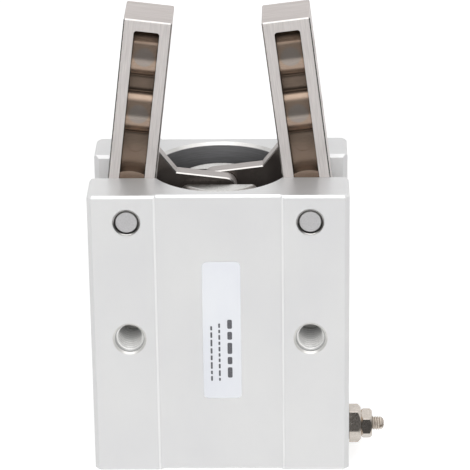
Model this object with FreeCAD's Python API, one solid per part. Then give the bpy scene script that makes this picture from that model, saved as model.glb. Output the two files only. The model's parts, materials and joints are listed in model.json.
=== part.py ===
import FreeCAD, Part
import math
import os

# Angular two-finger air gripper with a 25 mm bore: one STEP solid for each separate piece.
#
# Frame: the origin is the centre of the body's bottom face. Z points up towards the fingers,
# X runs across the two fingers, and -Y is the labelled front. Lengths are in mm, angles in
# degrees. Everything is at rest, with both fingers leaning 7 degrees inward.

V = FreeCAD.Vector
ORIGIN = V(0, 0, 0)
X_AXIS = V(1, 0, 0)
Y_AXIS = V(0, 1, 0)
Z_AXIS = V(0, 0, 1)

# ---- body block ----
BODY_WIDTH = 52.0
BODY_DEPTH = 33.6
BODY_HEIGHT = 60.5
CORNER_CHAMFER = 0.9
EDGE_CHAMFER = 0.5
HALF_WIDTH = BODY_WIDTH / 2
HALF_DEPTH = BODY_DEPTH / 2

BAND_HALF_WIDTH = 12.4      # shallow recessed band down the front and the back
BAND_SLOPE = 0.6
BAND_RECESS = 0.5
BAND_FACE = HALF_DEPTH - BAND_RECESS

FINGER_SLOT_HALF = 6.05     # slot that the fingers swing in, open at both sides
FINGER_SLOT_FLOOR = 49.4
SLOT_TOP_CHAMFER = 0.6
SLOT_MOUTH_CHAMFER = 1.0

SIDE_BOLT_X = 18.2          # M6 holes and pivots share this spacing
SIDE_BOLT_Z = 29.7
M6_RADIUS = 3.0
M6_MOUTH_RADIUS = 3.4
M6_DEPTH = 12.0
BASE_BOLT_DEPTH = 9.0
M5_RADIUS = 2.5
PORT_DEPTH = 5.0
PORT_HEIGHTS = (13.5, 33.5)
AIR_RADIUS = 0.8            # drilled air passages

SWITCH_GROOVE_Y = 8.0       # two grooves for position switches, on the left side
SWITCH_GROOVE_X = -24.0
SWITCH_GROOVE_RADIUS = 1.9
SWITCH_MOUTH_HALF = 1.6
SWITCH_GROOVE_TOP = 46.0

# ---- bore and what closes it ----
BORE_RADIUS = 12.5
CAP_SEAT_RADIUS = 13.0
CAP_TOP = 8.0
CAP_BOTTOM = 2.9
WELL_RADIUS = 13.65
WELL_CHAMFER = 0.65
COVER_BOTTOM = 33.3
COVER_TOP = 41.3
COVER_EDGE = 0.4
COVER_ORING_GROOVE = (36.0, 38.3)
COVER_ORING_GROOVE_RADIUS = 11.85
ROD_SEAL_GROOVE = (35.0, 38.0)
ROD_SEAL_GROOVE_RADIUS = 8.0
CAP_ORING_GROOVE = (4.5, 6.6)
CAP_ORING_GROOVE_RADIUS = 11.15
CAP_DISH_RADIUS = 8.0
CAP_DISH_DEPTH = 0.8
ORING_SECTION_RADIUS = 0.87
RING_THICKNESS = 1.1        # retaining rings
RING_WIDTH = 2.4
RING_GROOVE_DEPTH = 0.85
RING_SIDE_GAP = 0.1
RING_LUG_RADIUS = 1.35
RING_LUG_HOLE_RADIUS = 0.6
RING_GAP_HALF = 0.9
BUMPER_THICKNESS = 1.0
UPPER_BUMPER = (6.2, 10.0)  # inner and outer radius
LOWER_BUMPER = (4.5, 9.0)
FIT_GAP = 0.05              # radial gap of running and slip fits

# ---- piston, rod and joint block ----
PISTON_RADIUS = 12.42
PISTON_BOTTOM = 10.1
PISTON_TOP = 19.5
KEEPER_TOP = 11.5
MAGNET_TOP = 14.3
HUB_RADIUS = 7.0
SEAL_GROOVE = (15.6, 18.2)
SEAL_GROOVE_RADIUS = 10.2
ROD_RADIUS = 5.0
ROD_BOTTOM = 18.0
NECK_BOTTOM = 42.6
SPIGOT_RADIUS = 3.0
SPIGOT_TOP = 45.9
SCREW_RADIUS = 2.5
SCREW_HEAD_RADIUS = 3.9
SCREW_TOP = 26.0
BLOCK_RADIUS = 8.8
BLOCK_BOTTOM = 44.2
BLOCK_TOP = 58.2
NECK_RADIUS = 6.5
BLOCK_SLOT_HALF = 4.4
BLOCK_ROOF_DROP = 5.4       # slot floor's ridge below the cross pin
BLOCK_ROOF_SLOPE = 30.0
CROSS_PIN_RADIUS = 2.0
CROSS_PIN_HALF_LENGTH = 8.3

# ---- fingers ----
PIVOT_X = SIDE_BOLT_X
PIVOT_Z = 54.9
PIVOT_PIN_RADIUS = 2.495
PIVOT_HOLE_RADIUS = 2.5
PIVOT_PIN_RECESS = 0.25
PIVOT_PIN_CHAMFER = 0.4
LEAN = 7.0
CROSS_PIN_DROP = 1.2        # cross pin below the pivots at rest
LIFT_PER_RADIAN = 19.65     # piston travel for each radian of finger swing
SWING = (-3.0, 37.0)
FINGER_HALF_WIDTH = 4.8
FINGER_HALF_DEPTH = 5.95
FINGER_TOP = 38.6
FINGER_EDGE = 0.25
FINGER_BORE_RADIUS = 2.55
WINDOW_HALF_WIDTH = 2.55    # pockets in the front and the back of a finger
WINDOW_TOP = 36.3
WINDOW_CORNER = 0.6
WINDOW_FLOOR = 2.5
PIVOT_BOSS_RADIUS = 6.7
PIVOT_BOSS_FACE = 5.5
FINGER_HOLES = (18.6, 30.6)  # tapped holes through a finger, above its pivot
BOSS_RADIUS = 5.0
BOSS_FILLET = 0.6
FLOOR_DIMPLE_Z = 11.4
FLOOR_DIMPLE_DEPTH = 0.12
FLOOR_DIMPLE_RADIUS = 1.6
ARM_NEAR = 0.15             # an arm spans these distances from the middle plane
ARM_FAR = 3.4
ARM_TOP = 6.7
ARM_UNDERSIDE = -3.4
ARM_TIP = 21.3
ARM_TIP_ROUND = 2.4
ARM_TOE_ROUND = 1.2
ARM_EDGE = 0.22             # chamfer along an arm's outline
GUSSET = 4.0
FORK_GAP = 0.13             # gap around the cross pin in an arm's open-ended slot

# ---- needle valve on the right side ----
NEEDLE_Y = -8.0
NEEDLE_Z = 6.5
SEAT_FLATS = 7.0
SEAT_X = (20.5, 28.6)
WASHER_THICKNESS = 0.2
WASHER_RADIUS = 3.3
CHAMBER_X = 18.5
ORIFICE_RADIUS = 1.0
ORIFICE_X = 16.5
SEAL_BORE_RADIUS = 1.9
SEAL_BORE_X = 25.0
M3_RADIUS = 1.5
STEM_RADIUS = 1.45
STEM_END = 33.4
NEEDLE_TIP = 18.6
NEEDLE_TIP_RADIUS = 0.4
NEEDLE_TAPER = 1.4
NEEDLE_NECK_RADIUS = 0.95
NEEDLE_GROOVE = (22.2, 23.2)
NEEDLE_COLLAR = 0.5
NEEDLE_ORING_RADIUS = 0.42
DRIVER_SLOT_DEPTH = 0.8
DRIVER_SLOT_HALF = 0.25
NUT_FLATS = 5.5
NUT_THICKNESS = 2.3
HEX_EDGE = 0.1              # chamfer along a hexagon's long edges
NUT_TURN = 20.0

# ---- label ----
LABEL_WIDTH = 7.7
LABEL_X = 0.4
LABEL_Z = (16.3, 46.3)
LABEL_CORNER = 1.0
LABEL_THICKNESS = 0.1


# ---- helpers ----
def block(x, y, z):
    """Box between pairs of limits."""
    return Part.makeBox(x[1] - x[0], y[1] - y[0], z[1] - z[0], V(x[0], y[0], z[0]))


def bar(radius, start, end):
    """Round bar from one point to another."""
    return Part.makeCylinder(radius, (end - start).Length, start, end - start)


def taper(start_radius, end_radius, start, end):
    """Cone between two points."""
    return Part.makeCone(start_radius, end_radius, (end - start).Length, start, end - start)


def ring(inner, outer, bottom, top):
    """Flat ring about the Z axis."""
    disc = bar(outer, V(0, 0, bottom), V(0, 0, top))
    return disc.cut(bar(inner, V(0, 0, bottom - 1), V(0, 0, top + 1)))


def path(start, *steps):
    """Closed wire in the XZ plane; a step is a point, or (through, end) for an arc."""
    first = V(start[0], 0, start[1])
    here = first
    edges = []
    for step in steps:
        points = [V(p[0], 0, p[1]) for p in step] if isinstance(step[0], tuple) else []
        if points:
            edges.append(Part.Arc(here, points[0], points[1]).toShape())
            here = points[1]
        else:
            end = V(step[0], 0, step[1])
            edges.append(Part.LineSegment(here, end).toShape())
            here = end
    edges.append(Part.LineSegment(here, first).toShape())
    return Part.Wire(edges)


def rounded_path(corners):
    """Closed wire in the XZ plane through (x, z, radius) corners."""
    places = [V(x, 0, z) for x, z, _ in corners]
    arcs = []
    for i, (_, _, radius) in enumerate(corners):
        here = places[i]
        back = (places[i - 1] - here).normalize()
        ahead = (places[(i + 1) % len(places)] - here).normalize()
        half = back.getAngle(ahead) / 2
        reach = radius / math.tan(half)
        middle = here + (back + ahead).normalize() * (radius / math.sin(half) - radius)
        arcs.append((here + back * reach, middle, here + ahead * reach, radius))
    edges = []
    for i, (start, middle, end, radius) in enumerate(arcs):
        if radius > 0:
            edges.append(Part.Arc(start, middle, end).toShape())
        edges.append(Part.LineSegment(end, arcs[(i + 1) % len(arcs)][0]).toShape())
    return Part.Wire(edges)


def slab(wire, near, far):
    """A wire in the XZ plane made into a solid between two Y positions."""
    return Part.Face(wire).translated(V(0, near, 0)).extrude(V(0, far - near, 0))


def turned(points):
    """Solid of revolution about Z from (radius, z) points."""
    return Part.Face(path(points[0], *points[1:])).revolve(ORIGIN, Z_AXIS, 360)


def hexagon(across_flats, turn, start, end, both_ends):
    """Hexagonal bar along X on the needle valve's axis, its corners turned off at the outer end."""
    radius = across_flats / math.sqrt(3)
    angles = [math.radians(turn + 60 * i) for i in range(6)]
    points = [V(start, radius * math.cos(a), radius * math.sin(a)) for a in angles]
    face = Part.Face(Part.makePolygon(points + points[:1]))
    solid = face.extrude(V(end - start, 0, 0))
    solid = solid.makeChamfer(HEX_EDGE, [e for e in solid.Edges if abs(e.tangentAt(0).x) > 0.9])
    face_radius = 0.96 * across_flats / 2
    trim = radius - face_radius
    outer = [(start, radius), (end - trim, radius), (end, face_radius)]
    if both_ends:
        outer = [(start, face_radius), (start + trim, radius)] + outer[1:]
    wire = path((start, 0), *outer, (end, 0))
    turned_off = Part.Face(wire).revolve(ORIGIN, X_AXIS, 360)
    return solid.common(turned_off).translated(V(0, NEEDLE_Y, NEEDLE_Z))


def retaining_ring(outer, bottom, turn):
    """Internal retaining ring with a gap and two drilled lugs."""
    top = bottom + RING_THICKNESS
    inner = outer - RING_WIDTH
    lug_y = -(inner - 0.3)
    lug_x = RING_GAP_HALF + RING_LUG_RADIUS
    lugs = []
    holes = []
    for x in (-lug_x, lug_x):
        lugs.append(bar(RING_LUG_RADIUS, V(x, lug_y, bottom), V(x, lug_y, top)))
        holes.append(bar(RING_LUG_HOLE_RADIUS, V(x, lug_y, bottom - 1), V(x, lug_y, top + 1)))
    gap = block((-RING_GAP_HALF, RING_GAP_HALF), (-outer - 1, -inner + 3), (bottom - 1, top + 1))
    shape = ring(inner, outer, bottom, top).fuse(lugs).removeSplitter()
    return shape.cut(holes + [gap]).rotated(ORIGIN, Z_AXIS, turn)


def o_ring(groove_radius, groove):
    """O-ring about the Z axis, a little clear of the bottom and the middle of its groove."""
    section = ORING_SECTION_RADIUS
    return Part.makeTorus(groove_radius + section + 0.03, section, V(0, 0, sum(groove) / 2), Z_AXIS)


# ---- housing ----
def threaded_hole(radius, mouth_radius, mouth, inward, depth):
    """Blind tapped hole with a countersunk mouth and a drill point."""
    floor = mouth + inward * depth
    countersink = mouth_radius - radius
    return [
        bar(radius, mouth - inward, floor),
        taper(mouth_radius, radius, mouth, mouth + inward * countersink),
        taper(radius, 0, floor, floor + inward * (radius * 0.55)),
    ]


def make_body():
    shape = block((-HALF_WIDTH, HALF_WIDTH), (-HALF_DEPTH, HALF_DEPTH), (0, BODY_HEIGHT))
    upright = [e for e in shape.Edges if abs(e.tangentAt(0).z) > 0.9]
    shape = shape.makeChamfer(CORNER_CHAMFER, upright)
    rims = [e for e in shape.Edges if abs(e.tangentAt(0).z) < 0.1]
    shape = shape.makeChamfer(EDGE_CHAMFER, rims)

    cuts = []
    band_edge = BAND_HALF_WIDTH + BAND_SLOPE
    rim_half = EDGE_CHAMFER / math.sqrt(2)
    for side in (-1, 1):
        corners = [(-band_edge, side * HALF_DEPTH), (-BAND_HALF_WIDTH, side * BAND_FACE),
                   (BAND_HALF_WIDTH, side * BAND_FACE), (band_edge, side * HALF_DEPTH),
                   (band_edge + 1, side * (HALF_DEPTH + 1)), (-band_edge - 1, side * (HALF_DEPTH + 1))]
        points = [V(x, y, -1) for x, y in corners]
        band = Part.Face(Part.makePolygon(points + points[:1]))
        cuts.append(band.extrude(V(0, 0, BODY_HEIGHT + 2)))
        for height in (0, BODY_HEIGHT):
            edge = block((-BAND_HALF_WIDTH, BAND_HALF_WIDTH), (-rim_half, rim_half), (-rim_half, rim_half))
            edge = edge.rotated(ORIGIN, X_AXIS, 45)
            cuts.append(edge.translated(V(0, side * BAND_FACE, height)))

    cuts.append(block((-HALF_WIDTH - 1, HALF_WIDTH + 1), (-FINGER_SLOT_HALF, FINGER_SLOT_HALF),
                      (FINGER_SLOT_FLOOR, BODY_HEIGHT + 1)))
    top_half = SLOT_TOP_CHAMFER / math.sqrt(2)
    mouth_half = SLOT_MOUTH_CHAMFER / math.sqrt(2)
    for side in (-1, 1):
        edge = block((-HALF_WIDTH - 1, HALF_WIDTH + 1), (-top_half, top_half), (-top_half, top_half))
        edge = edge.rotated(ORIGIN, X_AXIS, 45)
        cuts.append(edge.translated(V(0, side * FINGER_SLOT_HALF, BODY_HEIGHT)))
        for end in (-1, 1):
            edge = block((-mouth_half, mouth_half), (-mouth_half, mouth_half),
                         (FINGER_SLOT_FLOOR, BODY_HEIGHT + 1))
            edge = edge.rotated(ORIGIN, Z_AXIS, 45)
            cuts.append(edge.translated(V(end * HALF_WIDTH, side * FINGER_SLOT_HALF, 0)))

    cover_groove = WELL_RADIUS + RING_GROOVE_DEPTH
    cap_groove = CAP_SEAT_RADIUS + RING_GROOVE_DEPTH
    groove_height = RING_THICKNESS + RING_SIDE_GAP
    cuts.append(turned([
        (0, -1), (CAP_SEAT_RADIUS + 1.4, -1), (CAP_SEAT_RADIUS, 0.4),
        (CAP_SEAT_RADIUS, CAP_BOTTOM - groove_height), (cap_groove, CAP_BOTTOM - groove_height),
        (cap_groove, CAP_BOTTOM), (CAP_SEAT_RADIUS, CAP_BOTTOM), (CAP_SEAT_RADIUS, CAP_TOP),
        (BORE_RADIUS, CAP_TOP), (BORE_RADIUS, COVER_BOTTOM), (WELL_RADIUS, COVER_BOTTOM),
        (WELL_RADIUS, COVER_TOP), (cover_groove, COVER_TOP),
        (cover_groove, COVER_TOP + groove_height), (WELL_RADIUS, COVER_TOP + groove_height),
        (WELL_RADIUS, BODY_HEIGHT - WELL_CHAMFER), (WELL_RADIUS + WELL_CHAMFER, BODY_HEIGHT),
        (WELL_RADIUS + WELL_CHAMFER, BODY_HEIGHT + 1), (0, BODY_HEIGHT + 1),
    ]))

    for x in (-SIDE_BOLT_X, SIDE_BOLT_X):
        cuts.append(bar(PIVOT_HOLE_RADIUS, V(x, -HALF_DEPTH - 1, PIVOT_Z), V(x, HALF_DEPTH + 1, PIVOT_Z)))
        for side in (-1, 1):
            mouth = V(x, side * HALF_DEPTH, PIVOT_Z)
            inward = V(0, -side, 0)
            cuts.append(taper(PIVOT_HOLE_RADIUS + 0.15, PIVOT_HOLE_RADIUS, mouth, mouth + inward * 0.15))
            bolt = V(x, side * HALF_DEPTH, SIDE_BOLT_Z)
            cuts += threaded_hole(M6_RADIUS, M6_MOUTH_RADIUS, bolt, inward, M6_DEPTH)
        cuts += threaded_hole(M6_RADIUS, M6_MOUTH_RADIUS, V(x, 0, 0), Z_AXIS, BASE_BOLT_DEPTH)

    lower, upper = PORT_HEIGHTS
    port_mouth = M5_RADIUS + 0.3
    for height in PORT_HEIGHTS:
        cuts += threaded_hole(M5_RADIUS, port_mouth, V(HALF_WIDTH, 0, height), -X_AXIS, PORT_DEPTH)
    cuts.append(bar(AIR_RADIUS, V(22, 0, upper - 1.2), V(BORE_RADIUS - 1, 0, upper - 1.2)))
    cuts.append(bar(M5_RADIUS, V(HALF_WIDTH + 1, NEEDLE_Y, NEEDLE_Z), V(CHAMBER_X, NEEDLE_Y, NEEDLE_Z)))
    cuts.append(bar(ORIFICE_RADIUS, V(CHAMBER_X + 1, NEEDLE_Y, NEEDLE_Z), V(ORIFICE_X, NEEDLE_Y, NEEDLE_Z)))
    cuts.append(bar(AIR_RADIUS, V(24.0, -1.0, lower - 0.9), V(19.3, -7.2, NEEDLE_Z + 0.7)))
    cuts.append(bar(AIR_RADIUS * 0.9, V(17.2, NEEDLE_Y, NEEDLE_Z), V(9.0, NEEDLE_Y, 9.0)))

    for y in (-SWITCH_GROOVE_Y, SWITCH_GROOVE_Y):
        cuts.append(bar(SWITCH_GROOVE_RADIUS, V(SWITCH_GROOVE_X, y, -1),
                        V(SWITCH_GROOVE_X, y, SWITCH_GROOVE_TOP)))
        cuts.append(block((-HALF_WIDTH - 1, SWITCH_GROOVE_X),
                          (y - SWITCH_MOUTH_HALF, y + SWITCH_MOUTH_HALF), (-1, SWITCH_GROOVE_TOP)))
    return shape.cut(cuts)


def make_pivot_pin(x):
    end = HALF_DEPTH - PIVOT_PIN_RECESS
    pin = bar(PIVOT_PIN_RADIUS, V(x, -end, PIVOT_Z), V(x, end, PIVOT_Z))
    rims = [e for e in pin.Edges if e.Closed]
    return pin.makeChamfer(PIVOT_PIN_CHAMFER, rims)


def make_front_cover():
    """Guides the rod and closes the top of the bore."""
    outer = WELL_RADIUS - FIT_GAP
    inner = ROD_RADIUS + FIT_GAP
    edge = COVER_EDGE
    groove_low, groove_high = COVER_ORING_GROOVE
    groove = COVER_ORING_GROOVE_RADIUS
    seal_low, seal_high = ROD_SEAL_GROOVE
    seal = ROD_SEAL_GROOVE_RADIUS
    return turned([
        (inner + edge, COVER_BOTTOM), (outer - edge, COVER_BOTTOM), (outer, COVER_BOTTOM + edge),
        (outer, groove_low), (groove, groove_low), (groove, groove_high), (outer, groove_high),
        (outer, COVER_TOP - edge), (outer - edge, COVER_TOP), (inner + edge, COVER_TOP),
        (inner, COVER_TOP - edge), (inner, seal_high), (seal, seal_high), (seal, seal_low),
        (inner, seal_low), (inner, COVER_BOTTOM + edge),
    ])


def make_rod_seal():
    """U-shaped lip seal, open towards the pressure below."""
    inner = ROD_RADIUS + FIT_GAP
    outer = ROD_SEAL_GROOVE_RADIUS - FIT_GAP
    low = ROD_SEAL_GROOVE[0] + 0.1
    high = ROD_SEAL_GROOVE[1] - 0.1
    lip = 0.9
    lip_depth = 1.1
    heel = 0.3
    middle = (inner + outer) / 2
    return turned([
        (inner, low), (inner + lip, low), (middle, low + lip_depth), (outer - lip, low),
        (outer, low), (outer, high), (inner + heel, high), (inner, high - heel),
    ])


def make_end_cap():
    """Closes the bottom of the bore; its underside is dished."""
    outer = CAP_SEAT_RADIUS - FIT_GAP
    edge = COVER_EDGE
    dish = CAP_BOTTOM + CAP_DISH_DEPTH
    groove_low, groove_high = CAP_ORING_GROOVE
    groove = CAP_ORING_GROOVE_RADIUS
    return turned([
        (0, dish), (CAP_DISH_RADIUS, dish), (CAP_DISH_RADIUS + edge, CAP_BOTTOM),
        (outer - edge, CAP_BOTTOM), (outer, CAP_BOTTOM + edge), (outer, groove_low),
        (groove, groove_low), (groove, groove_high), (outer, groove_high), (outer, CAP_TOP - edge),
        (outer - edge, CAP_TOP), (0, CAP_TOP),
    ])


def make_bumper(inner, outer, bottom):
    top = bottom + BUMPER_THICKNESS
    edge = 0.25
    return turned([
        (inner, bottom), (outer, bottom), (outer, top - edge), (outer - edge, top),
        (inner + edge, top), (inner, top - edge),
    ])


def make_upper_bumper():
    """Rubber ring under the front cover, with its rounded edge towards the piston."""
    bumper = make_bumper(UPPER_BUMPER[0], UPPER_BUMPER[1], 0)
    return bumper.rotated(ORIGIN, X_AXIS, 180).translated(V(0, 0, COVER_BOTTOM))


def make_needle_seat():
    hex_start = HALF_WIDTH + WASHER_THICKNESS
    at = V(0, NEEDLE_Y, NEEDLE_Z)
    shank = bar(M5_RADIUS - 0.01, V(SEAT_X[0], 0, 0) + at, V(hex_start, 0, 0) + at)
    nose_end = V(SEAT_X[0] + 0.5, 0, 0) + at
    nose = taper(M5_RADIUS - 0.5, M5_RADIUS - 0.01, V(SEAT_X[0], 0, 0) + at, nose_end)
    nose_gap = bar(M5_RADIUS + 1, V(SEAT_X[0] - 1, 0, 0) + at, nose_end)
    shape = shank.cut(nose_gap).fuse([nose, hexagon(SEAT_FLATS, 0, hex_start, SEAT_X[1], False)])
    thread = bar(M3_RADIUS, V(SEAT_X[0] - 1, 0, 0) + at, V(SEAT_X[1] + 1, 0, 0) + at)
    seal_bore = bar(SEAL_BORE_RADIUS, V(SEAT_X[0] - 1, 0, 0) + at, V(SEAL_BORE_X, 0, 0) + at)
    mouth = taper(M3_RADIUS, M3_RADIUS + 0.3, V(SEAT_X[1] - 0.3, 0, 0) + at, V(SEAT_X[1], 0, 0) + at)
    return shape.cut([thread, seal_bore, mouth]).removeSplitter()


def make_needle_washer():
    at = V(0, NEEDLE_Y, NEEDLE_Z)
    start = V(HALF_WIDTH, 0, 0) + at
    end = V(HALF_WIDTH + WASHER_THICKNESS, 0, 0) + at
    return bar(WASHER_RADIUS, start, end).cut(bar(M5_RADIUS, start - X_AXIS, end + X_AXIS))


def make_needle_nut():
    at = V(0, NEEDLE_Y, NEEDLE_Z)
    start = SEAT_X[1]
    nut = hexagon(NUT_FLATS, NUT_TURN, start, start + NUT_THICKNESS, True)
    hole = bar(M3_RADIUS + 0.05, V(start - 1, 0, 0) + at, V(start + NUT_THICKNESS + 1, 0, 0) + at)
    return nut.cut(hole)


def make_label():
    """Blank adhesive label on the front band."""
    left = LABEL_X - LABEL_WIDTH / 2
    right = LABEL_X + LABEL_WIDTH / 2
    wire = rounded_path([(x, z, LABEL_CORNER) for x, z in (
        (left, LABEL_Z[0]), (right, LABEL_Z[0]), (right, LABEL_Z[1]), (left, LABEL_Z[1]))])
    return slab(wire, -BAND_FACE - LABEL_THICKNESS, -BAND_FACE)


# ---- piston group ----
def make_piston():
    low, high = SEAL_GROOVE
    seat = ROD_BOTTOM
    return turned([
        (SCREW_RADIUS, KEEPER_TOP), (HUB_RADIUS, KEEPER_TOP), (HUB_RADIUS, MAGNET_TOP),
        (PISTON_RADIUS, MAGNET_TOP), (PISTON_RADIUS, low), (SEAL_GROOVE_RADIUS, low),
        (SEAL_GROOVE_RADIUS, high), (PISTON_RADIUS, high), (PISTON_RADIUS, PISTON_TOP - 0.3),
        (PISTON_RADIUS - 0.3, PISTON_TOP), (ROD_RADIUS, PISTON_TOP), (ROD_RADIUS, seat),
        (SCREW_RADIUS, seat),
    ])


def make_piston_seal():
    """X-section ring, a little clear of the bore."""
    low = SEAL_GROOVE[0] + 0.1
    high = SEAL_GROOVE[1] - 0.1
    middle = (low + high) / 2
    outer = BORE_RADIUS - FIT_GAP
    return turned([
        (SEAL_GROOVE_RADIUS, low), (outer - 0.3, low), (outer, low + 0.3), (outer, low + 0.6),
        (outer - 0.4, middle), (outer, high - 0.6), (outer, high - 0.3), (outer - 0.3, high),
        (SEAL_GROOVE_RADIUS, high),
    ])


def make_magnet_keeper():
    return turned([
        (SCREW_HEAD_RADIUS, PISTON_BOTTOM), (PISTON_RADIUS - 0.4, PISTON_BOTTOM),
        (PISTON_RADIUS, PISTON_BOTTOM + 0.4), (PISTON_RADIUS, KEEPER_TOP), (SCREW_RADIUS, KEEPER_TOP),
    ])


def make_piston_screw():
    """Countersunk screw that clamps the keeper, the magnet and the piston to the rod."""
    head = turned([
        (0, PISTON_BOTTOM + 0.05), (SCREW_HEAD_RADIUS - 0.05, PISTON_BOTTOM + 0.05),
        (SCREW_RADIUS, KEEPER_TOP), (SCREW_RADIUS, SCREW_TOP - 0.5), (SCREW_RADIUS - 0.5, SCREW_TOP),
        (0, SCREW_TOP),
    ])
    socket_radius = 3.0 / math.sqrt(3)
    angles = [math.radians(60 * i) for i in range(7)]
    points = [V(socket_radius * math.cos(a), socket_radius * math.sin(a), PISTON_BOTTOM - 1)
              for a in angles]
    return head.cut(Part.Face(Part.makePolygon(points)).extrude(V(0, 0, 2.8)))


def make_piston_rod():
    return turned([
        (SCREW_RADIUS, ROD_BOTTOM), (ROD_RADIUS, ROD_BOTTOM), (ROD_RADIUS, NECK_BOTTOM),
        (SPIGOT_RADIUS, NECK_BOTTOM), (SPIGOT_RADIUS, SPIGOT_TOP - 0.4),
        (SPIGOT_RADIUS - 0.4, SPIGOT_TOP), (0, SPIGOT_TOP), (0, SCREW_TOP + 1.5),
        (SCREW_RADIUS, SCREW_TOP + 0.5),
    ])


def make_joint_block():
    """Round forked block on the rod; its cross pin drives both fingers' arms."""
    top_round = 1.1
    side = (BLOCK_RADIUS, BLOCK_TOP - top_round)
    bulge = top_round * math.sqrt(0.5)
    through = (side[0] - top_round + bulge, side[1] + bulge)
    outline = path(
        (0, NECK_BOTTOM), (NECK_RADIUS, NECK_BOTTOM), (NECK_RADIUS, BLOCK_BOTTOM),
        (BLOCK_RADIUS - 0.3, BLOCK_BOTTOM), (BLOCK_RADIUS, BLOCK_BOTTOM + 0.3), side,
        (through, (BLOCK_RADIUS - top_round, BLOCK_TOP)), (0, BLOCK_TOP))
    shape = Part.Face(outline).revolve(ORIGIN, Z_AXIS, 360)
    pin_z = PIVOT_Z - CROSS_PIN_DROP
    ridge = pin_z - BLOCK_ROOF_DROP
    reach = BLOCK_RADIUS + 1
    eaves = ridge - reach * math.tan(math.radians(BLOCK_ROOF_SLOPE))
    slot = slab(path((0, ridge), (reach, eaves), (reach, BLOCK_TOP + 1), (-reach, BLOCK_TOP + 1),
                     (-reach, eaves)), -BLOCK_SLOT_HALF, BLOCK_SLOT_HALF)
    hole = bar(CROSS_PIN_RADIUS, V(0, -reach, pin_z), V(0, reach, pin_z))
    spigot = bar(SPIGOT_RADIUS, V(0, 0, NECK_BOTTOM - 1), V(0, 0, SPIGOT_TOP + 0.1))
    return shape.cut([slot, hole, spigot])


def make_joint_pin():
    pin_z = PIVOT_Z - CROSS_PIN_DROP
    pin = bar(CROSS_PIN_RADIUS, V(0, -CROSS_PIN_HALF_LENGTH, pin_z), V(0, CROSS_PIN_HALF_LENGTH, pin_z))
    return pin.makeChamfer(0.3, [e for e in pin.Edges if e.Closed])


# ---- fingers ----
# A finger is built upright about its pivot, with +X inward, then leaned and moved.
def cross_pin_from_pivot(swing):
    """Where the cross pin lies in the leaned finger at rest, when it has swung open by swing."""
    turn = math.radians(swing)
    height = LIFT_PER_RADIAN * turn - CROSS_PIN_DROP
    return V(PIVOT_X * math.cos(turn) + height * math.sin(turn), 0,
             height * math.cos(turn) - PIVOT_X * math.sin(turn))


def capsule(start, end, radius):
    """Straight round-ended slot tool along Y between two XZ points."""
    reach = V(0, 2 * FINGER_HALF_DEPTH, 0)
    side = Y_AXIS.cross(end - start).normalize() * radius
    corners = [start + side, end + side, end - side, start - side, start + side]
    middle = Part.Face(Part.makePolygon([c - reach for c in corners])).extrude(reach * 2)
    return middle.fuse([bar(radius, p - reach, p + reach) for p in (start, end)])


def make_fork_slot():
    """Path of the cross pin through an arm: a constant lift makes it slightly curved."""
    radius = CROSS_PIN_RADIUS + FORK_GAP
    steps = 5
    span = SWING[1] - SWING[0]
    stops = [cross_pin_from_pivot(SWING[0] + span * i / steps) for i in range(steps + 1)]
    stops.append(stops[-1] + (stops[-1] - stops[-2]).normalize() * 4)
    tools = [capsule(a, b, radius) for a, b in zip(stops, stops[1:])]
    return tools[0].fuse(tools[1:]).removeSplitter()


def make_window():
    """Pocket tool for the +Y face: two bosses around the tapped holes stand in it."""
    outside = FINGER_HALF_DEPTH + 1
    level = WINDOW_FLOOR + BOSS_FILLET
    reach = math.sqrt((BOSS_RADIUS + BOSS_FILLET) ** 2 - level ** 2)
    share = BOSS_RADIUS / (BOSS_RADIUS + BOSS_FILLET)
    steps = [(WINDOW_FLOOR, PIVOT_BOSS_RADIUS - 2)]
    for z in FINGER_HOLES:
        for side in (-1, 1):
            centre = (level, z + side * reach)
            tangent = (share * level, z + side * share * reach)
            floor_end = (WINDOW_FLOOR, centre[1])
            middle_x = (tangent[0] + floor_end[0]) / 2 - centre[0]
            middle_z = (tangent[1] + floor_end[1]) / 2 - centre[1]
            scale = BOSS_FILLET / math.hypot(middle_x, middle_z)
            through = (centre[0] + middle_x * scale, centre[1] + middle_z * scale)
            if side < 0:
                steps += [floor_end, (through, tangent)]
            else:
                steps += [((BOSS_RADIUS, z), tangent), (through, floor_end)]
    steps += [(WINDOW_FLOOR, WINDOW_TOP + 1), (outside, WINDOW_TOP + 1)]
    relief = slab(path((outside, PIVOT_BOSS_RADIUS - 2), *steps), -WINDOW_HALF_WIDTH, WINDOW_HALF_WIDTH)
    relief = relief.rotated(ORIGIN, Z_AXIS, 90)

    sill = math.sqrt(PIVOT_BOSS_RADIUS ** 2 - WINDOW_HALF_WIDTH ** 2)
    corner = WINDOW_CORNER
    bulge = corner * (1 - math.sqrt(0.5))
    left = -WINDOW_HALF_WIDTH
    frame = path(
        (left, sill), ((0, PIVOT_BOSS_RADIUS), (-left, sill)), (-left, WINDOW_TOP - corner),
        ((-left - bulge, WINDOW_TOP - bulge), (-left - corner, WINDOW_TOP)),
        (left + corner, WINDOW_TOP),
        ((left + bulge, WINDOW_TOP - bulge), (left, WINDOW_TOP - corner)))
    return relief.common(slab(frame, 0, outside))


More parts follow.
